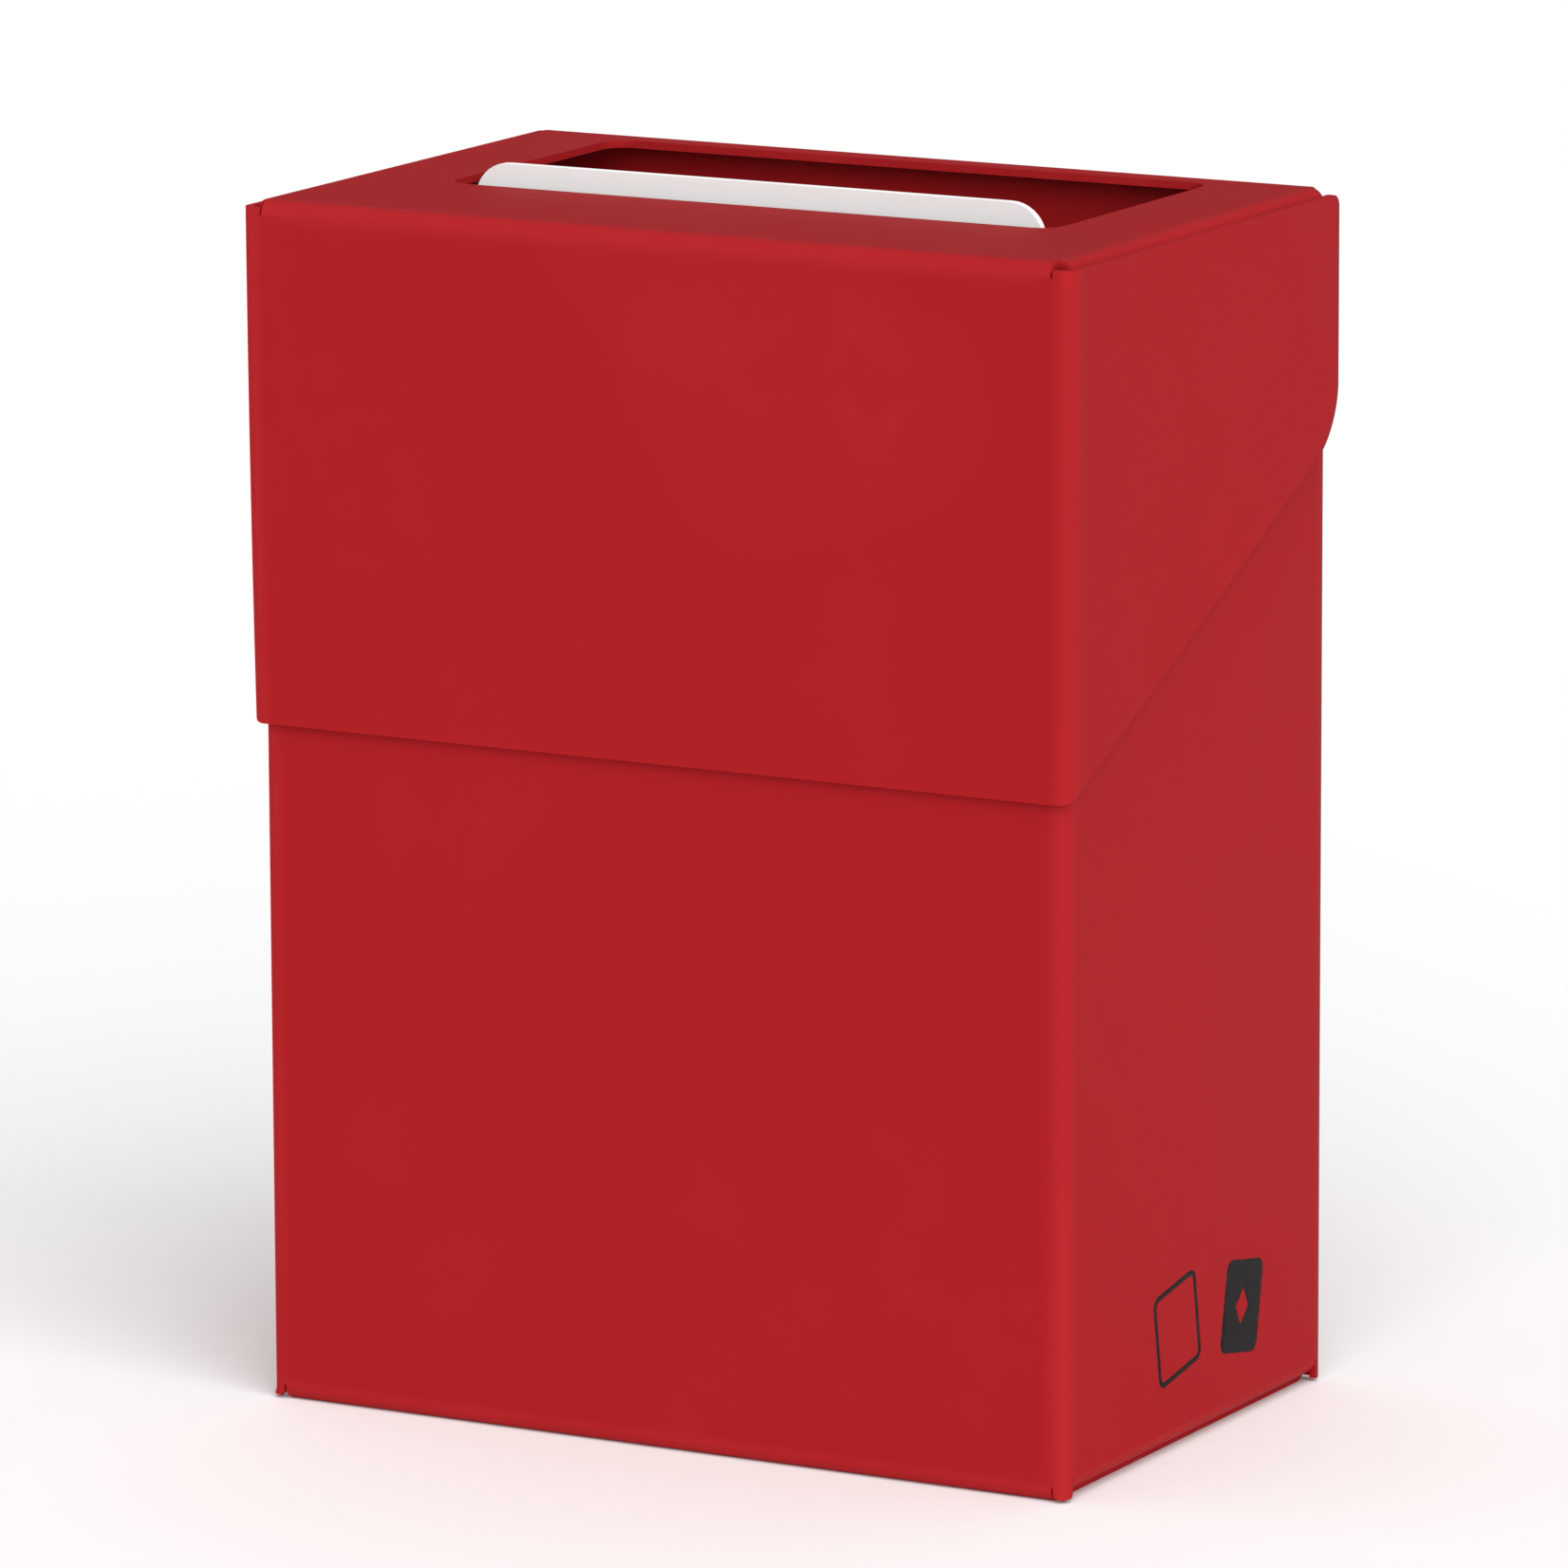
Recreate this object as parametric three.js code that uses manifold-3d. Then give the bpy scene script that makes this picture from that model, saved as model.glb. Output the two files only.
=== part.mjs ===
// Card deck box: an upright case folded from polypropylene sheet, with a flip lid on a living hinge.
// Millimetres, +Z up. The origin is the middle of the case's underside, and -Y is the front.
import * as THREE from "three";
import { mergeVertices } from "three/addons/utils/BufferGeometryUtils.js";
import Module from "manifold-3d";

const wasm = await Module();
wasm.setup();

// The sheet and its folds.
const sheet = 0.6;
const foldRadius = 1.2; // outside radius of every fold
const foldSteps = 5; // facets in a quarter turn
const seamGap = 0.05; // between two panels that meet at a crease
const layerGap = 0.1; // between two layers that lie on each other

// The case.
const bodyWidth = 71;
const bodyDepth = 44.4;
const frontWallTop = 80;
const sideWallTop = 88;
const sideCornerRadius = 8;
const thumbNotchRadius = 11;
const thumbNotchShoulder = 3;
const dustFlapLength = 24;
const dustFlapSetback = 2.4; // from the front and back walls
const dustFlapChamfer = 5;
const tuckTabHeight = 16;
const tuckTabHalfWidth = 31;
const tuckTabCornerRadius = 5;
const seamFlapWidth = 13;
const seamFlapInset = 4; // from the ends of the back wall
const seamFlapChamfer = 6;

// The living hinge: a thin web across the back, at the outside face.
const hingeHeight = 77;
const hingeWeb = 0.25;
const hingeHalfHeight = 0.6; // the full sheet stops this far above and below the hinge line
const hingeAxisOutset = 0.15; // the lid turns about a line just outside the back wall

// The lid.
const lidTop = 96;
const lidClearance = 0.3; // to the front and side walls
const lidFrontBottom = 54.6;
const earRise = 0.49; // slope of the ears' lower edge
const earRearRadius = 6;
const earTopDrop = 0.55; // the ears' top edge stops below the top panel's face
const flangeDepth = 7;
const flangeSetback = 2.2; // from the ends of the top panel
const windowHalfWidth = 26.9;
const windowFront = -7.4;
const windowBack = 19.4;
const windowCornerRadius = 2;

// The loose divider card.
const dividerThickness = 0.6;
const dividerFront = -4.7; // its front face
const dividerCentre = -0.6; // it stands a little to the left in the case
const dividerHalfWidth = 32.7;
const dividerShoulder = 88;
const dividerTop = 97.4;
const tabHalfWidth = 25.2;
const dividerCornerRadius = 3;
const tabRootRadius = 1.2;

// Worked out from the driving dimensions. The lid's front is the foremost face, and the origin is midway
// between it and the back wall.
const bodyHalfWidth = bodyWidth / 2;
const lidHalfWidth = bodyHalfWidth + lidClearance + sheet;
const overallDepth = bodyDepth + lidClearance + sheet;
const lidFrontFace = -overallDepth / 2;
const frontFace = lidFrontFace + sheet + lidClearance;
const backFace = overallDepth / 2;
const hingeAxis = new THREE.Vector3(0, backFace + hingeAxisOutset, hingeHeight);
const floorLayerTop = 2 * sheet + layerGap;

const redSheet = new THREE.MeshStandardMaterial({ color: 0xab2629, roughness: 0.55, metalness: 0 });
const whiteSheet = new THREE.MeshStandardMaterial({ color: 0xf4f1ec, roughness: 0.5, metalness: 0 });

// ---------- shapes ----------

// A section of bent sheet. The corners are those of its outer face, unrounded, and the sheet's thickness
// lies on the side that every fold turns towards: 1 for left turns, -1 for right turns.
function bentStrip(corners, turn) {
  const points = corners.map(([x, y]) => new THREE.Vector2(x, y));
  const along = points.slice(1).map((p, i) => p.clone().sub(points[i]).normalize());
  const inward = along.map((d) => new THREE.Vector2(-d.y, d.x).multiplyScalar(turn));
  const faceAt = (depth) => {
    const face = [points[0].clone().addScaledVector(inward[0], depth)];
    for (let i = 1; i < points.length - 1; i++) {
      const centre = points[i].clone().addScaledVector(along[i - 1], -foldRadius);
      centre.addScaledVector(inward[i - 1], foldRadius);
      const start = Math.atan2(-inward[i - 1].y, -inward[i - 1].x);
      for (let step = 0; step <= foldSteps; step++) {
        const angle = start + (turn * step * Math.PI) / 2 / foldSteps;
        const reach = foldRadius - depth;
        face.push(new THREE.Vector2(Math.cos(angle), Math.sin(angle)).multiplyScalar(reach).add(centre));
      }
    }
    face.push(points.at(-1).clone().addScaledVector(inward.at(-1), depth));
    return face.filter((point, i) => i === 0 || point.distanceTo(face[i - 1]) > seamGap / 2);
  };
  return new THREE.Shape([...faceAt(0), ...faceAt(sheet).reverse()]);
}

// An outline through corners [x, y, radius], with each corner rounded by its radius.
function roundedOutline(corners) {
  const outline = new THREE.Shape();
  corners.forEach(([x, y, radius], i) => {
    const corner = new THREE.Vector2(x, y);
    const [px, py] = corners.at(i - 1);
    const [nx, ny] = corners[(i + 1) % corners.length];
    const back = new THREE.Vector2(px, py).sub(corner).normalize();
    const ahead = new THREE.Vector2(nx, ny).sub(corner).normalize();
    const half = Math.acos(THREE.MathUtils.clamp(back.dot(ahead), -1, 1)) / 2;
    const cut = radius / Math.tan(half);
    const first = corner.clone().addScaledVector(back, cut);
    const last = corner.clone().addScaledVector(ahead, cut);
    if (i === 0) outline.moveTo(first.x, first.y);
    else outline.lineTo(first.x, first.y);
    if (!radius) return;
    const middle = back.clone().add(ahead).normalize().multiplyScalar(radius / Math.sin(half)).add(corner);
    const startAngle = Math.atan2(first.y - middle.y, first.x - middle.x);
    const endAngle = Math.atan2(last.y - middle.y, last.x - middle.x);
    outline.absarc(middle.x, middle.y, radius, startAngle, endAngle, back.cross(ahead) > 0);
  });
  outline.closePath();
  return outline;
}

const rectangle = (left, bottom, right, top, radius = 0) =>
  roundedOutline([
    [left, bottom, radius],
    [right, bottom, radius],
    [right, top, radius],
    [left, top, radius],
  ]);

// ---------- placing ----------

// How a flat drawing stands in the case, and which way its extrusion runs.
const drawnIn = {
  plan: new THREE.Euler(0, 0, 0), // drawn in X and Y, runs up Z
  front: new THREE.Euler(Math.PI / 2, 0, 0), // drawn in X and Z, runs towards the front, -Y
  side: new THREE.Euler(Math.PI / 2, Math.PI / 2, 0), // drawn in Y and Z, runs along X
};
const runsAlong = {
  plan: new THREE.Vector3(0, 0, 1),
  front: new THREE.Vector3(0, -1, 0),
  side: new THREE.Vector3(1, 0, 0),
};

// A drawing extruded from one distance to another along its run, in the case's own frame.
function extruded(drawing, shape, from, to) {
  const geometry = new THREE.ExtrudeGeometry(shape, {
    depth: to - from,
    bevelEnabled: false,
    curveSegments: foldSteps * 2,
  });
  const start = runsAlong[drawing].clone().multiplyScalar(from);
  const turn = new THREE.Quaternion().setFromEuler(drawnIn[drawing]);
  return geometry.applyMatrix4(new THREE.Matrix4().compose(start, turn, new THREE.Vector3(1, 1, 1)));
}

function solidFrom(geometry) {
  const bare = geometry.clone();
  bare.deleteAttribute("normal");
  bare.deleteAttribute("uv");
  const merged = mergeVertices(bare, 1e-4);
  return new wasm.Manifold(
    new wasm.Mesh({
      numProp: 3,
      vertProperties: merged.attributes.position.array,
      triVerts: new Uint32Array(merged.index.array),
    }),
  );
}

function geometryFrom(solid) {
  const mesh = solid.getMesh();
  const geometry = new THREE.BufferGeometry();
  geometry.setAttribute("position", new THREE.BufferAttribute(mesh.vertProperties, 3));
  geometry.setIndex(new THREE.BufferAttribute(mesh.triVerts, 1));
  geometry.computeVertexNormals();
  return geometry;
}

// What two extrusions have in common: bent sheet trimmed to an outline.
const trimmed = (geometry, outline) => geometryFrom(solidFrom(geometry).intersect(solidFrom(outline)));

function piece(name, geometry, material) {
  const mesh = new THREE.Mesh(geometry, material);
  mesh.name = name;
  return mesh;
}

// ---------- the case ----------

function frontPanel() {
  const half = bodyHalfWidth - foldRadius - seamGap;
  const notchEdge = thumbNotchRadius + thumbNotchShoulder;
  const shape = new THREE.Shape();
  shape.moveTo(-half, foldRadius + seamGap);
  shape.lineTo(half, foldRadius + seamGap);
  shape.lineTo(half, frontWallTop);
  shape.lineTo(notchEdge, frontWallTop);
  const shoulderZ = frontWallTop - thumbNotchShoulder;
  shape.absarc(notchEdge, shoulderZ, thumbNotchShoulder, Math.PI / 2, Math.PI, false);
  shape.absarc(0, shoulderZ, thumbNotchRadius, 0, Math.PI, true);
  shape.absarc(-notchEdge, shoulderZ, thumbNotchShoulder, 0, Math.PI / 2, false);
  shape.lineTo(-half, frontWallTop);
  shape.closePath();
  return piece("body_front_panel", extruded("front", shape, -frontFace - sheet, -frontFace), redSheet);
}

function backPanel() {
  // Its left end stops at the seam flap's fold, and its right end at the right panel's fold.
  const left = -(bodyHalfWidth - sheet - seamGap) + foldRadius + seamGap;
  const right = bodyHalfWidth - foldRadius - seamGap;
  const shape = rectangle(left, 0, right, hingeHeight - hingeHalfHeight);
  return piece("body_back_panel", extruded("front", shape, -backFace, -backFace + sheet), redSheet);
}

// The outline of a side wall seen from the side: a rounded top front corner that the lid's front swings
// past, and a step at the back that leaves room for the lid's back strip.
function sideWallOutline() {
  const wallBottom = sheet + layerGap;
  const rearInside = backFace - sheet - lidClearance;
  return roundedOutline([
    [frontFace, wallBottom, 0],
    [backFace, wallBottom, 0],
    [backFace, hingeHeight - hingeHalfHeight, 0],
    [rearInside, hingeHeight - hingeHalfHeight, 0],
    [rearInside, sideWallTop, 2],
    [frontFace, sideWallTop, sideCornerRadius],
  ]);
}

function sidePanel(name, section) {
  const bent = extruded("plan", section, 0, sideWallTop + sheet);
  const outline = extruded("side", sideWallOutline(), -bodyWidth, bodyWidth);
  return piece(name, trimmed(bent, outline), redSheet);
}

function rightPanel() {
  const foldStart = bodyHalfWidth - foldRadius;
  const section = bentStrip(
    [
      [foldStart, frontFace],
      [bodyHalfWidth, frontFace],
      [bodyHalfWidth, backFace],
      [foldStart, backFace],
    ],
    1,
  );
  return sidePanel("body_right_panel", section);
}

function leftPanel() {
  // One fold at the front. At the back it ends in a cut edge that covers the seam flap.
  const section = bentStrip(
    [
      [-(bodyHalfWidth - foldRadius), frontFace],
      [-bodyHalfWidth, frontFace],
      [-bodyHalfWidth, backFace - seamGap],
    ],
    -1,
  );
  return sidePanel("body_left_panel", section);
}

function seamFlap() {
  const outer = -(bodyHalfWidth - sheet - seamGap);
  const section = bentStrip(
    [
      [outer, backFace - seamFlapWidth],
      [outer, backFace],
      [outer + foldRadius, backFace],
    ],
    -1,
  );
  const bent = extruded("plan", section, 0, hingeHeight);
  const bottom = seamFlapInset;
  const top = hingeHeight - seamFlapInset;
  const freeEdge = backFace - seamFlapWidth;
  const outline = roundedOutline([
    [freeEdge, bottom + seamFlapChamfer, 0],
    [freeEdge + seamFlapChamfer, bottom, 0],
    [backFace, bottom, 0],
    [backFace, top, 0],
    [freeEdge + seamFlapChamfer, top, 0],
    [freeEdge, top - seamFlapChamfer, 0],
  ]);
  const trim = extruded("side", outline, -bodyWidth, bodyWidth);
  return piece("body_seam_flap", trimmed(bent, trim), redSheet);
}

function bottomPanel() {
  const half = bodyHalfWidth - foldRadius - seamGap;
  const tuckFace = backFace - sheet - layerGap;
  const section = bentStrip(
    [
      [frontFace, foldRadius],
      [frontFace, 0],
      [tuckFace, 0],
      [tuckFace, foldRadius],
    ],
    1,
  );
  return piece("bottom_panel", extruded("side", section, -half, half), redSheet);
}

function tuckTab() {
  const tuckFace = backFace - sheet - layerGap;
  const shape = roundedOutline([
    [-tuckTabHalfWidth, foldRadius + seamGap, 0],
    [tuckTabHalfWidth, foldRadius + seamGap, 0],
    [tuckTabHalfWidth, tuckTabHeight, tuckTabCornerRadius],
    [-tuckTabHalfWidth, tuckTabHeight, tuckTabCornerRadius],
  ]);
  return piece("bottom_tuck_tab", extruded("front", shape, -tuckFace, -tuckFace + sheet), redSheet);
}

function dustFlap(name, sign) {
  const outer = bodyHalfWidth - sheet - seamGap;
  const inner = outer - dustFlapLength;
  const front = frontFace + dustFlapSetback;
  const back = backFace - dustFlapSetback - sheet;
  const corners = [
    [outer, front],
    [outer, back],
    [inner + dustFlapChamfer, back],
    [inner, back - dustFlapChamfer],
    [inner, front + dustFlapChamfer],
    [inner + dustFlapChamfer, front],
  ].map(([x, y]) => [sign * x, y, 0]);
  if (sign < 0) corners.reverse();
  const shape = roundedOutline(corners);
  return piece(name, extruded("plan", shape, sheet + layerGap, floorLayerTop), redSheet);
}

function livingHinge() {
  const half = bodyHalfWidth - foldRadius;
  const low = hingeHeight - hingeHalfHeight + seamGap;
  const high = hingeHeight + hingeHalfHeight - seamGap;
  const web = extruded("front", rectangle(-half, low, half, high), -backFace, -backFace + hingeWeb);
  return piece("living_hinge", web, redSheet);
}

// ---------- the lid ----------

function lidBackStrip() {
  const top = lidTop - foldRadius - seamGap;
  const shape = rectangle(-bodyHalfWidth, hingeHeight + hingeHalfHeight, bodyHalfWidth, top);
  return piece("lid_back_strip", extruded("front", shape, -backFace, -backFace + sheet), redSheet);
}

function lidTopPanel() {
  const half = lidHalfWidth - sheet - seamGap - foldRadius - seamGap;
  const foldEnd = lidTop - foldRadius;
  const section = bentStrip(
    [
      [backFace, foldEnd],
      [backFace, lidTop],
      [lidFrontFace, lidTop],
      [lidFrontFace, foldEnd],
    ],
    1,
  );
  const panel = extruded("side", section, -half, half);
  const opening = rectangle(-windowHalfWidth, windowFront, windowHalfWidth, windowBack, windowCornerRadius);
  const cutter = extruded("plan", opening, lidTop - 2 * sheet, lidTop + sheet);
  const cut = solidFrom(panel).subtract(solidFrom(cutter));
  return piece("lid_top_panel", geometryFrom(cut), redSheet);
}

function lidFrontPanel() {
  const half = lidHalfWidth - foldRadius - seamGap;
  const top = lidTop - foldRadius - seamGap;
  const shape = rectangle(-half, lidFrontBottom, half, top);
  return piece("lid_front_panel", extruded("front", shape, -lidFrontFace - sheet, -lidFrontFace), redSheet);
}

// An ear seen from the side: its lower edge climbs to the back, where the corner is rounded.
function earOutline() {
  const rearLow = lidFrontBottom + (backFace - lidFrontFace) * earRise;
  return roundedOutline([
    [lidFrontFace, lidFrontBottom, 0],
    [backFace, rearLow, earRearRadius],
    [backFace, lidTop - earTopDrop, 0],
    [lidFrontFace, lidTop - earTopDrop, 0],
  ]);
}

function lidEar(name, sign) {
  const section = bentStrip(
    [
      [sign * (lidHalfWidth - foldRadius), lidFrontFace],
      [sign * lidHalfWidth, lidFrontFace],
      [sign * lidHalfWidth, backFace],
    ],
    sign,
  );
  const bent = extruded("plan", section, lidFrontBottom - sheet, lidTop);
  const outline = extruded("side", earOutline(), -bodyWidth, bodyWidth);
  return piece(name, trimmed(bent, outline), redSheet);
}

// The top panel's side edge, folded down inside the ear, where it is welded.
function lidFlange(name, sign) {
  const outer = sign * (lidHalfWidth - sheet - seamGap);
  const section = bentStrip(
    [
      [outer - sign * foldRadius, lidTop],
      [outer, lidTop],
      [outer, lidTop - flangeDepth],
    ],
    -sign,
  );
  const front = -lidFrontFace - flangeSetback;
  const back = -backFace + flangeSetback;
  return piece(name, extruded("front", section, back, front), redSheet);
}

// ---------- the divider ----------

function dividerCard() {
  const left = dividerCentre - dividerHalfWidth;
  const right = dividerCentre + dividerHalfWidth;
  const tabLeft = dividerCentre - tabHalfWidth;
  const tabRight = dividerCentre + tabHalfWidth;
  const bottom = floorLayerTop + seamGap;
  const shape = roundedOutline([
    [left, bottom, dividerCornerRadius],
    [right, bottom, dividerCornerRadius],
    [right, dividerShoulder, dividerCornerRadius],
    [tabRight, dividerShoulder, tabRootRadius],
    [tabRight, dividerTop, dividerCornerRadius],
    [tabLeft, dividerTop, dividerCornerRadius],
    [tabLeft, dividerShoulder, tabRootRadius],
    [left, dividerShoulder, dividerCornerRadius],
  ]);
  const card = extruded("front", shape, -dividerFront - dividerThickness, -dividerFront);
  return piece("divider_card", card, whiteSheet);
}

// ---------- the assembly ----------

const body = new THREE.Group();
body.add(frontPanel(), rightPanel(), backPanel(), leftPanel(), seamFlap());
body.add(bottomPanel(), tuckTab(), dustFlap("bottom_dust_flap_right", 1), dustFlap("bottom_dust_flap_left", -1));
body.add(livingHinge());

// The lid's group sits on the hinge line, so that turning it by a negative angle about X opens the lid.
const lid = new THREE.Group();
lid.position.copy(hingeAxis);
const lidPanels = new THREE.Group();
lidPanels.position.copy(hingeAxis).negate();
lidPanels.add(lidBackStrip(), lidTopPanel(), lidFrontPanel());
lidPanels.add(lidEar("lid_right_ear", 1), lidEar("lid_left_ear", -1));
lidPanels.add(lidFlange("lid_right_flange", 1), lidFlange("lid_left_flange", -1));
lid.add(lidPanels);

const deckBox = new THREE.Group();
deckBox.add(body, lid, dividerCard());

export default deckBox;
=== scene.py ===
import math

import bmesh
import bpy
from mathutils import Matrix, Quaternion, Vector


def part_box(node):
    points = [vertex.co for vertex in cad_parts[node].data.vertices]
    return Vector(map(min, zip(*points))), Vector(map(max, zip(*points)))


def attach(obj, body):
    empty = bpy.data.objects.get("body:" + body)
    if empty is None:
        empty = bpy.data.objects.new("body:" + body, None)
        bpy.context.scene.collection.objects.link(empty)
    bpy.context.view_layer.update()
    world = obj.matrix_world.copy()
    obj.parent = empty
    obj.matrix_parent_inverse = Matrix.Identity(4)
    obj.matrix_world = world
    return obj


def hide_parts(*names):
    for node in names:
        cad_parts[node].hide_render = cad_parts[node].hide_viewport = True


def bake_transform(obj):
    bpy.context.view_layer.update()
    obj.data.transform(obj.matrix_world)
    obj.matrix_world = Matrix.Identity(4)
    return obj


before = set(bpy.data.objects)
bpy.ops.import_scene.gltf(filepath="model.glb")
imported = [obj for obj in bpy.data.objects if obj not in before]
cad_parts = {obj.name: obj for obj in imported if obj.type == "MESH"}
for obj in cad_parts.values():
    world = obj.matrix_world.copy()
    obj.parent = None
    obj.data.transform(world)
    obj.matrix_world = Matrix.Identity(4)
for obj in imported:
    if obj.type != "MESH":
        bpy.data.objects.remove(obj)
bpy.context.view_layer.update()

# ---------- The case ----------
# One blank of thin polypropylene sheet, die-cut and creased. The side walls fold back from the front wall,
# the back wall folds in from the right one and its flap is glued inside the left one, and the floor folds
# back from the front wall, under the two dust flaps, and tucks up inside the back wall.

mm = 0.001
side_low, side_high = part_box("body_right_panel")
back_low, back_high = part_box("body_back_panel")
tuck_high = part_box("bottom_tuck_tab")[1]
flap_low, flap_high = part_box("bottom_dust_flap_right")
seam_low, seam_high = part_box("body_seam_flap")

sheet = back_high.y - back_low.y
half = side_high.x
front, back = side_low.y, side_high.y
depth = back - front
hairline = 0.05 * mm
fold = 1.1 * mm  # outside radius of a fold
clear = fold + hairline  # how far from a crease its fold reaches
slit = 0.2 * mm  # width of the relief cuts at the ends of the creases
foot = 0.3 * mm  # the walls' cut edges stop this far above the ground


def blank(outline, place):
    """A flat blank: one face through the corners (u, v, corner radius), set in space by place(u, v)."""
    bm = bmesh.new()
    corners = [bm.verts.new(place(u, v)) for u, v, _ in outline]
    bm.faces.new(corners)
    sides = [(corner.co - corners[i - 1].co).normalized() for i, corner in enumerate(corners)]
    bends = [side.angle(sides[(i + 1) % len(sides)]) for i, side in enumerate(sides)]
    for corner, bend, (_, _, radius) in zip(corners, bends, outline):
        if radius:
            bmesh.ops.bevel(
                bm,
                geom=[corner],
                offset=radius * math.tan(bend / 2),
                offset_type="OFFSET",
                segments=10,
                profile=0.5,
                affect="VERTICES",
                material=-1,
            )
    bm.normal_update()
    return bm


def score(bm, point, across, where):
    """Presses one crease: cuts the faces that pass where() along the plane through point."""
    faces = [face for face in bm.faces if where(face.calc_center_median())]
    geom = faces + list({e for f in faces for e in f.edges}) + list({v for f in faces for v in f.verts})
    bmesh.ops.bisect_plane(bm, geom=geom, dist=1e-7, plane_co=point, plane_no=across)


def turn(bm, point, axis, degrees, where):
    """Folds everything that passes where() about the line through point."""
    verts = [vert for vert in bm.verts if where(vert.co)]
    bmesh.ops.rotate(bm, verts=verts, cent=point, matrix=Matrix.Rotation(math.radians(degrees), 3, axis))


def round_folds(bm, radius):
    """Gives the sharp folds their radius."""
    bm.normal_update()
    creases = [e for e in bm.edges if len(e.link_faces) == 2 and e.calc_face_angle() > 1]
    bmesh.ops.bevel(
        bm,
        geom=creases,
        offset=radius,
        offset_type="OFFSET",
        segments=6,
        profile=0.5,
        affect="EDGES",
        material=-1,
        clamp_overlap=False,
    )
    bm.normal_update()


def lattice(bm, lines):
    """Cuts the sheet along planes (axis, place), so that its panels can bow."""
    for axis, place in lines:
        normal = Vector((axis == "X", axis == "Y", axis == "Z"))
        geom = bm.verts[:] + bm.edges[:] + bm.faces[:]
        bmesh.ops.bisect_plane(bm, geom=geom, dist=1e-7, plane_co=normal * place, plane_no=normal)
    bm.normal_update()


def evenly(low, high, step):
    """Places from low to high, ends left out, at most step apart."""
    count = math.ceil((high - low) / step)
    return [low + (high - low) * i / count for i in range(1, count)]


def mark_folds(bm):
    """Writes the attribute that the sheet's finish reads: 1 on a fold and 0 on the flat."""
    bm.normal_update()
    layer = bm.verts.layers.float.new("fold")
    for vert in bm.verts:
        vert[layer] = 0.0 if max(map(abs, vert.normal)) > 0.9995 else 1.0


def sheet_piece(name, bm, thickness, finishes, edge_round=0.09 * mm):
    """Makes a piece of the folded face: thickness inwards, cut edges rounded, flats shaded flat.

    The finishes are the face's and the cut edge's.
    """
    mesh = bpy.data.meshes.new(name)
    for face in bm.faces:
        face.smooth = True
    bm.to_mesh(mesh)
    bm.free()
    piece = bpy.data.objects.new(name, mesh)
    bpy.context.scene.collection.objects.link(piece)
    for finish in finishes:
        mesh.materials.append(finish)
    wall = piece.modifiers.new("wall", "SOLIDIFY")
    wall.thickness = thickness
    wall.offset = -1
    wall.use_even_offset = True
    wall.material_offset_rim = 1
    rounding = piece.modifiers.new("edges", "BEVEL")
    rounding.width = edge_round
    rounding.segments = 2
    rounding.limit_method = "ANGLE"
    rounding.angle_limit = math.radians(50)
    shading = piece.modifiers.new("shading", "WEIGHTED_NORMAL")
    shading.keep_sharp = True
    return piece


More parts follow.
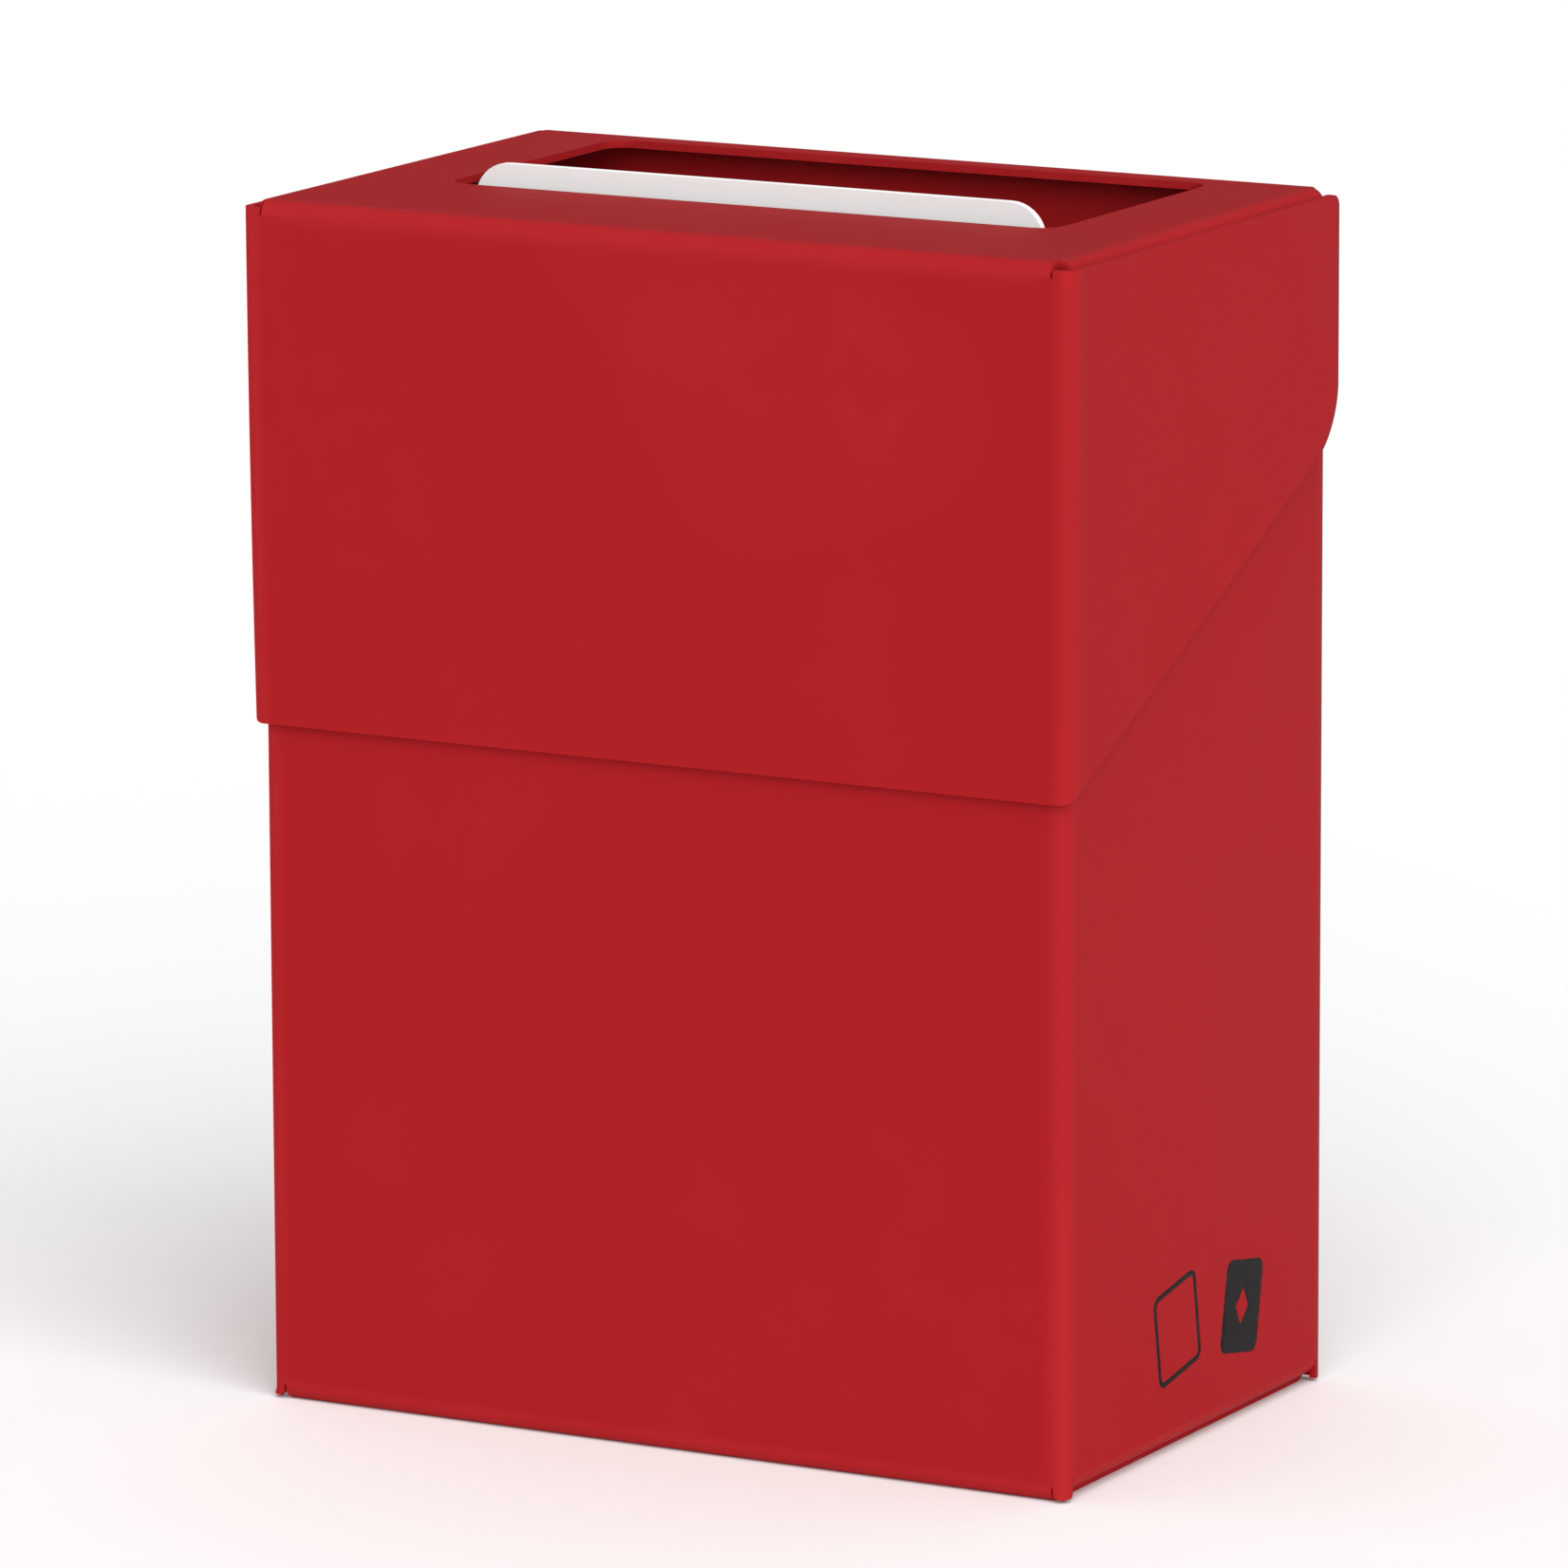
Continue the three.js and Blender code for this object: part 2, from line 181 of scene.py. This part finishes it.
def grain_group():
    """The fine matt texture, uneven sheen and handling marks of extruded sheet."""
    group = bpy.data.node_groups.new("sheet_grain", "ShaderNodeTree")
    face = group.interface
    for name, value in (("Grain per metre", 4200.0), ("Roughness", 0.5), ("Spread", 0.1), ("Scuffs", 0.5)):
        socket = face.new_socket(name, in_out="INPUT", socket_type="NodeSocketFloat")
        socket.default_value = value
    for name in ("Height", "Roughness", "Mottle", "Scuff"):
        face.new_socket(name, in_out="OUTPUT", socket_type="NodeSocketFloat")
    nodes, links = group.nodes, group.links
    inputs, outputs = nodes.new("NodeGroupInput"), nodes.new("NodeGroupOutput")
    place = nodes.new("ShaderNodeTexCoord")

    def noise(scale, detail, roughness=0.5):
        node = nodes.new("ShaderNodeTexNoise")
        node.inputs["Scale"].default_value = scale
        node.inputs["Detail"].default_value = detail
        node.inputs["Roughness"].default_value = roughness
        links.new(place.outputs["Object"], node.inputs["Vector"])
        return node

    def math_node(operation, a, b, clamp=False):
        node = nodes.new("ShaderNodeMath")
        node.operation = operation
        node.use_clamp = clamp
        for i, value in enumerate((a, b)):
            if isinstance(value, (int, float)):
                node.inputs[i].default_value = value
            else:
                links.new(value, node.inputs[i])
        return node.outputs[0]

    def ramp(value, low, high):
        node = nodes.new("ShaderNodeMapRange")
        node.interpolation_type = "SMOOTHSTEP"
        node.inputs["From Min"].default_value = low
        node.inputs["From Max"].default_value = high
        links.new(value, node.inputs["Value"])
        return node.outputs["Result"]

    pebble = noise(1, 3, 0.6)
    links.new(inputs.outputs["Grain per metre"], pebble.inputs["Scale"])
    ripple = noise(55, 2).outputs["Fac"]
    cloud = noise(38, 4).outputs["Fac"]
    smear = noise(160, 5, 0.65).outputs["Fac"]

    scratches = []
    for angle, stretch in ((20, 900), (-35, 1300), (80, 1100)):
        turned = nodes.new("ShaderNodeMapping")
        tilt = math.radians(angle)
        turned.inputs["Rotation"].default_value = (tilt, tilt / 2, tilt)
        turned.inputs["Scale"].default_value = (18, stretch, 18)
        links.new(place.outputs["Object"], turned.inputs["Vector"])
        line = nodes.new("ShaderNodeTexNoise")
        line.inputs["Scale"].default_value = 1
        line.inputs["Detail"].default_value = 1
        links.new(turned.outputs["Vector"], line.inputs["Vector"])
        scratches.append(ramp(line.outputs["Fac"], 0.72, 0.78))
    scratch = math_node("MAXIMUM", math_node("MAXIMUM", scratches[0], scratches[1]), scratches[2])
    patch = math_node("MULTIPLY", ramp(cloud, 0.5, 0.66), ramp(smear, 0.42, 0.62))
    handled = math_node("ADD", math_node("MULTIPLY", scratch, 0.55), patch)
    scuff = math_node("MULTIPLY", handled, inputs.outputs["Scuffs"], True)

    height = math_node("ADD", pebble.outputs["Fac"], math_node("MULTIPLY", ripple, 2.5))
    links.new(math_node("SUBTRACT", height, math_node("MULTIPLY", scratch, 0.4)), outputs.inputs["Height"])
    spread = math_node("MULTIPLY", math_node("SUBTRACT", cloud, 0.5), inputs.outputs["Spread"])
    rough = math_node("ADD", inputs.outputs["Roughness"], math_node("MULTIPLY", spread, 2.0))
    links.new(math_node("ADD", rough, math_node("MULTIPLY", scuff, 0.12), True), outputs.inputs["Roughness"])
    links.new(cloud, outputs.inputs["Mottle"])
    links.new(scuff, outputs.inputs["Scuff"])
    return group


grain = grain_group()


def sheet_finish(name, colour, fold_whitening_and_highlight, scuffed, roughness, specular=0.1, per_metre=4200.0, scuffs=0.5):
    """Satin polypropylene: colour on the flat, the fold colour where it is folded (on the red, stress
    whitening with a painted highlight), scuffed where it is handled.
    """
    finish = bpy.data.materials.new(name)
    finish.use_nodes = True
    nodes, links = finish.node_tree.nodes, finish.node_tree.links
    shader = nodes["Principled BSDF"]
    shader.inputs["Specular IOR Level"].default_value = specular
    shader.inputs["IOR"].default_value = 1.49
    surface = nodes.new("ShaderNodeGroup")
    surface.node_tree = grain
    surface.inputs["Grain per metre"].default_value = per_metre
    surface.inputs["Roughness"].default_value = roughness
    surface.inputs["Spread"].default_value = 0.12
    surface.inputs["Scuffs"].default_value = scuffs

    def mix(factor, a, b):
        node = nodes.new("ShaderNodeMix")
        node.data_type = "RGBA"
        for socket, value in (("Factor_Float", factor), ("A_Color", a), ("B_Color", b)):
            entry = next(s for s in node.inputs if s.identifier == socket)
            if isinstance(value, (tuple, float)):
                entry.default_value = value
            else:
                links.new(value, entry)
        return next(s for s in node.outputs if s.identifier == "Result_Color")

    folded = nodes.new("ShaderNodeAttribute")
    folded.attribute_name = "fold"
    streak = nodes.new("ShaderNodeMath")
    streak.operation = "MULTIPLY"
    links.new(folded.outputs["Fac"], streak.inputs[0])
    links.new(surface.outputs["Mottle"], streak.inputs[1])
    deep = tuple(0.93 * c for c in colour[:3]) + (1,)
    base = mix(surface.outputs["Mottle"], deep, colour)
    # The fold colour is laid along the folds: on the red it is stress whitening with a painted highlight.
    base = mix(streak.outputs[0], base, fold_whitening_and_highlight)
    base = mix(surface.outputs["Scuff"], base, scuffed)
    links.new(base, shader.inputs["Base Color"])
    links.new(surface.outputs["Roughness"], shader.inputs["Roughness"])
    bump = nodes.new("ShaderNodeBump")
    bump.inputs["Distance"].default_value = 0.012 * mm
    bump.inputs["Strength"].default_value = 0.55
    links.new(surface.outputs["Height"], bump.inputs["Height"])
    links.new(bump.outputs["Normal"], shader.inputs["Normal"])
    return finish


red = (0.35, 0.0112, 0.0142, 1)
# Lighter red on the folds: partly stress whitening of the sheet, partly a painted highlight.
red_stress_whitening_and_highlight = (0.39, 0.018, 0.022, 1)
red_scuffed = (0.375, 0.0155, 0.0185, 1)
# The cut edges are painted a little lighter than the face, a painted highlight where the raw edges catch the
# light; the scuffed edge adds real wear.
red_cut_highlit = (0.37, 0.013, 0.016, 1)
red_cut_highlit_scuffed = (0.4, 0.02, 0.023, 1)
red_sheet = sheet_finish("red_sheet", red, red_stress_whitening_and_highlight, red_scuffed, 0.52, 0.03, scuffs=0.4)
red_highlit_edge = sheet_finish("red_cut_edge_highlit", red_cut_highlit, red_stress_whitening_and_highlight, red_cut_highlit_scuffed, 0.62, 0.03)

wall_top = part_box("body_front_panel")[1].z
side_top = side_high.z
hinge_foot = back_high.z
flap_crease = flap_low.z
tuck_crease = tuck_high.y - front
tuck_length = tuck_high.z
floor_half = half - clear - slit
seam_crease = half + depth + half - seam_low.x
rear_step = half + depth - clear - 2 * hairline
flap_front = half + flap_low.y - front
flap_back = half + flap_high.y - front
flap_end = flap_crease - (half - flap_low.x)
flap_chamfer = 5 * mm
notch_half = 11 * mm
notch_foot = wall_top - 14 * mm
notch_round = 10.9 * mm  # the notch's foot is nearly a half circle
notch_lip = 3 * mm
slit_top = flap_crease + clear
small_corner = 1 * mm  # radius of the blank's ordinary corners
tongue_corner = 0.4 * mm
side_front_corner = 7.6 * mm
side_rear_corner = 2 * mm
seam_chamfer = 6 * mm
tuck_shoulder = 4 * mm
tuck_corner = 5 * mm


def case_side(sign, rear):
    """The outline of one side of the blank, from the floor's edge round the dust flap to the wall's top."""
    near = half + clear
    points = [
        (floor_half, clear, 0),
        (floor_half + slit, clear, 0),
        (floor_half + slit, foot, tongue_corner),
        (near, foot, tongue_corner),
        (near, slit_top, 0),
        (near + slit, slit_top, 0),
        (near + slit, flap_crease - clear, 0),
        (flap_front, flap_crease - 2 * clear, 0),
        (flap_front, flap_end + flap_chamfer, small_corner),
        (flap_front + flap_chamfer, flap_end, small_corner),
        (flap_back - flap_chamfer, flap_end, small_corner),
        (flap_back, flap_end + flap_chamfer, small_corner),
        (flap_back, flap_crease - 2 * clear, 0),
        (rear_step - slit, flap_crease - clear, 0),
        (rear_step - slit, slit_top, 0),
        (rear_step, slit_top, 0),
        (rear_step, foot, 0),
        *rear,
        (rear_step, hinge_foot, 0),
        (rear_step, side_top, side_rear_corner),
        (near, side_top, side_front_corner),
        (near, wall_top, 0),
    ]
    return [(sign * u, v, radius) for u, v, radius in points]


flap_root, flap_tip = seam_low.z, seam_high.z
flap_reach = seam_crease + seam_high.y - seam_low.y
back_end = seam_crease - hairline
left_end = half + depth - hairline
back_wall = [
    (back_end, foot, 0),
    (back_end, flap_root - slit, 0),
    (seam_crease - clear, flap_root - slit, 0),
    (seam_crease - clear, flap_root, 0),
    (flap_reach - seam_chamfer, flap_root, small_corner),
    (flap_reach, flap_root + seam_chamfer, small_corner),
    (flap_reach, flap_tip - seam_chamfer, small_corner),
    (flap_reach - seam_chamfer, flap_tip, small_corner),
    (seam_crease - clear, flap_tip, 0),
    (seam_crease - clear, flap_tip + slit, 0),
    (back_end, flap_tip + slit, 0),
    (back_end, hinge_foot, 0),
]
left_rear = [(left_end, foot, 0), (left_end, hinge_foot, 0)]
notch = [
    (notch_half, wall_top, notch_lip),
    (notch_half, notch_foot, notch_round),
    (-notch_half, notch_foot, notch_round),
    (-notch_half, wall_top, notch_lip),
]
tuck = [
    (-floor_half, -tuck_crease - clear, 0),
    (-tuck_high.x, -tuck_crease - tuck_shoulder, small_corner),
    (-tuck_high.x, -tuck_crease - tuck_length, tuck_corner),
    (tuck_high.x, -tuck_crease - tuck_length, tuck_corner),
    (tuck_high.x, -tuck_crease - tuck_shoulder, small_corner),
    (floor_half, -tuck_crease - clear, 0),
]
outline = tuck + case_side(1, back_wall) + notch + case_side(-1, left_rear)[::-1]
case = blank(outline, lambda u, v: Vector((u, front, v)))

everywhere = lambda point: True
for u in (-half, half, half + depth, seam_crease):
    score(case, (u, 0, 0), (1, 0, 0), everywhere)
for v in (0, -tuck_crease):
    score(case, (0, 0, v), (0, 0, 1), lambda p: abs(p.x) < half)
score(case, (0, 0, flap_crease), (0, 0, 1), lambda p: half < abs(p.x) < half + depth)

hair = 1e-6  # far below any real gap: it keeps points on a crease from being turned
in_floor = lambda p: abs(p.x) < half - hair
in_dust_flap = lambda p: half + clear + slit - hair < abs(p.x) < rear_step - slit + hair
turn(case, (0, front, -tuck_crease), "X", 90, lambda p: in_floor(p) and p.z < -tuck_crease - hair)
turn(case, (0, front, 0), "X", 90, lambda p: in_floor(p) and p.z < -hair)
turn(case, (0, front, flap_crease), "X", 90, lambda p: in_dust_flap(p) and p.z < flap_crease - hair)
turn(case, (seam_crease, front, 0), "Z", 90, lambda p: p.x > seam_crease + hair)
turn(case, (half + depth, front, 0), "Z", 90, lambda p: p.x > half + depth + hair)
turn(case, (half, front, 0), "Z", 90, lambda p: p.x > half + hair)
turn(case, (-half, front, 0), "Z", -90, lambda p: p.x < -half - hair)
round_folds(case, fold)

lid_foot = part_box("lid_front_panel")[0].z
bulge = 0.2 * mm


def wall_bow(along, z):
    """How far a wall bulges, given the place along it from -1 to 1. Under the lid it is held flat."""
    if not 0 < z < lid_foot:
        return 0
    return bulge * (1 - along**2) * math.sin(math.pi * z / lid_foot)


def side_bow(y, z):
    """How far a side wall bulges at y and z."""
    return wall_bow((y - (front + back) / 2) / (depth / 2), z)


near_fold = fold + 0.8 * mm  # the first cut beside a fold
cell = 4 * mm
lines = [("X", x) for x in evenly(-half, half, cell) + [near_fold - half, half - near_fold]]
lines += [("Y", y) for y in evenly(front, back, cell) + [front + near_fold, back - near_fold]]
lines += [("Z", z) for z in evenly(0, side_top, cell) + [near_fold]]
lattice(case, lines)
mark_folds(case)
for vert in case.verts:
    x, y, z = vert.co
    if y < front + hair:
        vert.co.y -= wall_bow(x / half, z)
    if abs(x) > half - hair:
        vert.co.x += math.copysign(side_bow(y, z), x)

case_piece = sheet_piece("case_sheet", case, sheet, [red_sheet, red_highlit_edge])
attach(case_piece, "body")
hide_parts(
    "body_front_panel",
    "body_right_panel",
    "body_back_panel",
    "body_left_panel",
    "body_seam_flap",
    "bottom_panel",
    "bottom_tuck_tab",
    "bottom_dust_flap_right",
    "bottom_dust_flap_left",
)

# ---------- The living hinge ----------
# The lid and the case's back wall are one sheet. Between them the sheet is pressed down to a thin web,
# which bends as the lid swings over.

web_low, web_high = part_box("living_hinge")
strip_low, strip_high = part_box("lid_back_strip")
web_half = web_high.x
web_outline = [
    (web_half, hinge_foot, 0),
    (-web_half, hinge_foot, 0),
    (-web_half, strip_low.z, 0),
    (web_half, strip_low.z, 0),
]
web = blank(web_outline, lambda u, v: Vector((u, back, v)))
web_cell = 0.1 * mm  # fine enough for the web to bend round
web_lines = [("Z", z) for z in evenly(hinge_foot, strip_low.z, web_cell)]
lattice(web, web_lines + [("X", x) for x in evenly(-web_half, web_half, cell)])
# The whole web takes the fold colour, which is stress whitening with a painted highlight.
fold_whitening_and_highlight = web.verts.layers.float.new("fold")
for vert in web.verts:
    vert[fold_whitening_and_highlight] = 1.0

web_piece = sheet_piece("hinge_web", web, web_high.y - web_low.y, [red_sheet, red_highlit_edge], 0.04 * mm)
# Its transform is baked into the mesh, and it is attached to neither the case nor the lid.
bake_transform(web_piece)
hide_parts("living_hinge")

# ---------- The lid ----------
# The rest of the same blank: a back strip above the hinge, a top with a die-cut window, and a long front
# skirt. The skirt's ears fold back along the sides and are welded to flanges folded down from the top.

ear_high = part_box("lid_right_ear")[1]
top_low, top_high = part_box("lid_top_panel")
flange_low, flange_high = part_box("lid_right_flange")

lid_half = ear_high.x
lid_front, lid_back, lid_top = top_low.y, top_high.y, top_high.z
lid_depth = lid_back - lid_front
skirt = lid_top - lid_foot
ear_rise = 0.49  # slope of the ears' lower edge
ear_top = lid_front - (lid_top - ear_high.z)
flange_crease = flange_high.x
flange_edge = flange_crease + lid_top - flange_low.z
crease_half = lid_half - 1.9 * mm  # the folds across the lid end here, in short relief cuts
relief = 1.5 * mm  # length of those cuts, into the top panel
flange_taper = 4 * mm
ear_corner = 6 * mm
strip_corner = 0.6 * mm
strip_reach = lid_top - strip_low.z
window_half = 26.9 * mm
window_front, window_back = -7.4 * mm, 19.4 * mm
window_corner = 2 * mm

half_lid = [
    (0, lid_front - skirt, 0),
    (lid_half, lid_front - skirt, 0),
    (lid_half + lid_depth, lid_front - skirt + ear_rise * lid_depth, ear_corner),
    (lid_half + lid_depth, ear_top, small_corner),
    (crease_half + slit, ear_top, 0),
    (crease_half + slit, lid_front - clear, 0),
    (crease_half, lid_front - clear, 0),
    (crease_half, lid_front + relief, 0),
    (flange_crease + clear, lid_front + relief, 0),
    (flange_edge, lid_front + relief + flange_taper, small_corner),
    (flange_edge, lid_back - relief - flange_taper, small_corner),
    (flange_crease + clear, lid_back - relief, 0),
    (crease_half, lid_back - relief, 0),
    (crease_half, lid_back + clear, 0),
    (strip_high.x, lid_back + clear, strip_corner),
    (strip_high.x, lid_back + strip_reach, 0),
    (0, lid_back + strip_reach, 0),
    (0, window_back, 0),
    (window_half, window_back, window_corner),
    (window_half, window_front, window_corner),
    (0, window_front, 0),
]
lid = blank(half_lid, lambda u, v: Vector((u, v, lid_top)))
for y in (lid_front, lid_back):
    score(lid, (0, y, 0), (0, 1, 0), everywhere)
score(lid, (lid_half, 0, 0), (1, 0, 0), lambda p: p.y < lid_front)
score(lid, (flange_crease, 0, 0), (1, 0, 0), lambda p: lid_front < p.y < lid_back)

in_ear = lambda p: p.x > lid_half + hair and p.y < lid_front
in_flange = lambda p: p.x > flange_crease + hair and lid_front < p.y < lid_back
turn(lid, (lid_half, 0, lid_top), "Y", 90, in_ear)
turn(lid, (flange_crease, 0, lid_top), "Y", 90, in_flange)
turn(lid, (0, lid_front, lid_top), "X", 90, lambda p: p.y < lid_front - hair)
turn(lid, (0, lid_back, lid_top), "X", -90, lambda p: p.y > lid_back + hair)
round_folds(lid, fold)
bmesh.ops.mirror(lid, geom=lid.verts[:] + lid.edges[:] + lid.faces[:], merge_dist=hair, axis="X")
bmesh.ops.recalc_face_normals(lid, faces=lid.faces[:])

across = evenly(-crease_half, crease_half, cell) + [near_fold - lid_half, lid_half - near_fold]
along = evenly(lid_front, lid_back, cell) + [lid_front + near_fold, lid_back - near_fold]
lines = [("X", x) for x in across] + [("Y", y) for y in along]
lines += [("Z", z) for z in evenly(lid_foot, lid_top, cell) + [lid_top - near_fold]]
lattice(lid, lines)
mark_folds(lid)
skirt_lean = 0.25 * mm  # how far the skirt's lower edge is drawn in towards the case
for vert in lid.verts:
    x, y, z = vert.co
    lean = skirt_lean * ((lid_top - z) / skirt) ** 2 * (1 - (y - lid_front) / lid_depth)
    vert.co.y += lean
    vert.co.x -= lean * x / lid_half

lid_piece = sheet_piece("lid_sheet", lid, sheet, [red_sheet, red_highlit_edge])
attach(lid_piece, "lid")
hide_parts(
    "lid_back_strip",
    "lid_top_panel",
    "lid_front_panel",
    "lid_right_ear",
    "lid_left_ear",
    "lid_right_flange",
    "lid_left_flange",
)

# ---------- The divider card ----------
# A loose card of white frosted sheet, cut with a wide centred tab that reaches up behind the window's front
# edge. It stands on the floor flaps between the two card spaces.

card_low, card_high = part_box("divider_card")
card_middle = (card_low.x + card_high.x) / 2
card_half = (card_high.x - card_low.x) / 2
tab_half = 25.2 * mm
shoulder = 88 * mm
card_corner = 3 * mm
tab_root = 1.2 * mm
card_bow = 0.25 * mm
card_outline = [
    (-card_half, card_low.z, card_corner),
    (card_half, card_low.z, card_corner),
    (card_half, shoulder, card_corner),
    (tab_half, shoulder, tab_root),
    (tab_half, card_high.z, card_corner),
    (-tab_half, card_high.z, card_corner),
    (-tab_half, shoulder, tab_root),
    (-card_half, shoulder, card_corner),
]
card = blank(card_outline, lambda u, v: Vector((card_middle + u, card_low.y, v)))
lines = [("X", card_middle + x) for x in evenly(-card_half, card_half, cell)]
lattice(card, lines + [("Z", z) for z in evenly(card_low.z, card_high.z, cell)])
for vert in card.verts:
    vert.co.y += card_bow * (1 - ((vert.co.x - card_middle) / card_half) ** 2)

white = (0.95, 0.94, 0.93, 1)
white_scuffed = (0.88, 0.87, 0.86, 1)
# The card's cut edges are painted a touch lighter than its face: a painted highlight.
white_cut_highlit = (0.96, 0.955, 0.95, 1)
white_sheet = sheet_finish("white_sheet", white, white, white_scuffed, 0.55, 0.3, 3200.0, 0.3)
white_highlit_edge = sheet_finish("white_cut_edge_highlit", white_cut_highlit, white, white_scuffed, 0.65, 0.3)
card_thickness = card_high.y - card_low.y
card_piece = sheet_piece("divider_sheet", card, card_thickness, [white_sheet, white_highlit_edge], 0.12 * mm)
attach(card_piece, "divider")
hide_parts("divider_card")

# ---------- The printed mark ----------
# Two small cards screen-printed low on the right side wall, in black ink: one drawn in outline, and one
# solid with a diamond left open in its middle.

black = (0.006, 0.005, 0.006, 1)
black_worn = (0.03, 0.01, 0.012, 1)
ink = sheet_finish("mark_ink", black, black, black_worn, 0.5)
ink_lift = 0.03 * mm  # the print's face stands this far out from the wall
ink_film = 0.02 * mm


def printed(name, bm, centre_y, centre_z, tilt):
    """Sets a flat print, drawn about the origin in Y and Z, on the right wall, as a thin film of ink."""
    bmesh.ops.rotate(bm, verts=bm.verts, cent=(0, 0, 0), matrix=Matrix.Rotation(math.radians(tilt), 3, "X"))
    lattice(bm, [("Y", y * mm) for y in range(-4, 5)] + [("Z", z * mm) for z in range(-4, 5)])
    for vert in bm.verts:
        y, z = vert.co.y + centre_y, vert.co.z + centre_z
        vert.co = (half + side_bow(y, z) + ink_lift, y, z)
    bm.normal_update()
    piece = sheet_piece(name, bm, ink_film, [ink, ink], 0.004 * mm)
    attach(piece, "body")


upright = lambda u, v: Vector((0, u, v))
mark_corner = 0.9 * mm
open_half, open_height, line_width = 3.6 * mm, 3.8 * mm, 0.42 * mm
open_outline = [
    (-open_half, -open_height, mark_corner),
    (open_half, -open_height, mark_corner),
    (open_half, open_height, mark_corner),
    (-open_half, open_height, mark_corner),
]
open_card = blank(open_outline, upright)
middle = open_card.faces[:]
bmesh.ops.inset_region(
    open_card,
    faces=middle,
    thickness=line_width,
    use_boundary=True,
    use_even_offset=True,
)
bmesh.ops.delete(open_card, geom=middle, context="FACES_ONLY")
printed("printed_open_card", open_card, centre_y=-3.2 * mm, centre_z=9.8 * mm, tilt=10)

full_half, full_height = 3.2 * mm, 3.7 * mm
pip_half, pip_height = 1.1 * mm, 1.5 * mm
half_card = [
    (0, -full_height, 0),
    (full_half, -full_height, mark_corner),
    (full_half, full_height, mark_corner),
    (0, full_height, 0),
    (0, pip_height, 0),
    (pip_half, 0, 0),
    (0, -pip_height, 0),
]
solid_card = blank(half_card, upright)
whole = solid_card.verts[:] + solid_card.edges[:] + solid_card.faces[:]
bmesh.ops.mirror(solid_card, geom=whole, merge_dist=hair, axis="Y")
bmesh.ops.recalc_face_normals(solid_card, faces=solid_card.faces[:])
printed("printed_solid_card", solid_card, centre_y=8.0 * mm, centre_z=9.2 * mm, tilt=-10)

# ---------- The studio ----------
# A plain pale floor, even white light from all round, and one very soft lamp above on the right, which
# lights the front, the side and the top alike.

floor_mesh = bpy.data.meshes.new("floor")
bm = bmesh.new()
bmesh.ops.create_grid(bm, x_segments=1, y_segments=1, size=3)
bm.to_mesh(floor_mesh)
bm.free()
floor = bpy.data.objects.new("floor", floor_mesh)
bpy.context.scene.collection.objects.link(floor)
paint = bpy.data.materials.new("pale_floor")
paint.use_nodes = True
paint_shader = paint.node_tree.nodes["Principled BSDF"]
paint_shader.inputs["Base Color"].default_value = (0.93, 0.93, 0.93, 1)
paint_shader.inputs["Roughness"].default_value = 0.9
paint_shader.inputs["Specular IOR Level"].default_value = 0.1
floor_mesh.materials.append(paint)

world = bpy.data.worlds.new("studio")
bpy.context.scene.world = world
world.use_nodes = True
sky, links = world.node_tree.nodes, world.node_tree.links
ray = sky.new("ShaderNodeLightPath")
seen, lit = sky.new("ShaderNodeMapRange"), sky.new("ShaderNodeMath")
seen.inputs["To Min"].default_value = 0.6  # strength as a light
seen.inputs["To Max"].default_value = 1.0  # strength as the backdrop
links.new(ray.outputs["Is Camera Ray"], seen.inputs["Value"])
lit.operation = "MULTIPLY_ADD"  # a reflection shows it dimmer, as the dark of a studio beyond the screens
lit.inputs[1].default_value = -0.35
links.new(ray.outputs["Is Glossy Ray"], lit.inputs[0])
links.new(seen.outputs["Result"], lit.inputs[2])
sky["Background"].inputs["Color"].default_value = (1, 1, 1, 1)
links.new(lit.outputs[0], sky["Background"].inputs["Strength"])


def aimed(obj, target, azimuth, elevation, distance, roll=0):
    """Puts a lamp or the camera round the target, azimuth 0 in front and 90 to the right, looking at it."""
    a, e = math.radians(azimuth), math.radians(elevation)
    away = Vector((math.sin(a) * math.cos(e), -math.cos(a) * math.cos(e), math.sin(e)))
    obj.location = target + distance * away
    obj.rotation_mode = "QUATERNION"
    obj.rotation_quaternion = (-away).to_track_quat("-Z", "Y") @ Quaternion((0, 0, 1), math.radians(roll))
    bpy.context.scene.collection.objects.link(obj)


look_at = Vector((-1.1 * mm, (front + back) / 2, 48.88 * mm))
lamp = bpy.data.objects.new("soft_lamp", bpy.data.lights.new("soft_lamp", "SUN"))
lamp.data.angle = math.radians(70)
lamp.data.energy = 2.6
aimed(lamp, look_at, azimuth=43, elevation=38, distance=1.9)

camera = bpy.data.objects.new("camera", bpy.data.cameras.new("camera"))
camera.data.lens = 264.4
aimed(camera, look_at, azimuth=28.87, elevation=11.33, distance=0.9069, roll=-0.23)
bpy.context.scene.camera = camera
bpy.context.scene.view_settings.view_transform = "Standard"
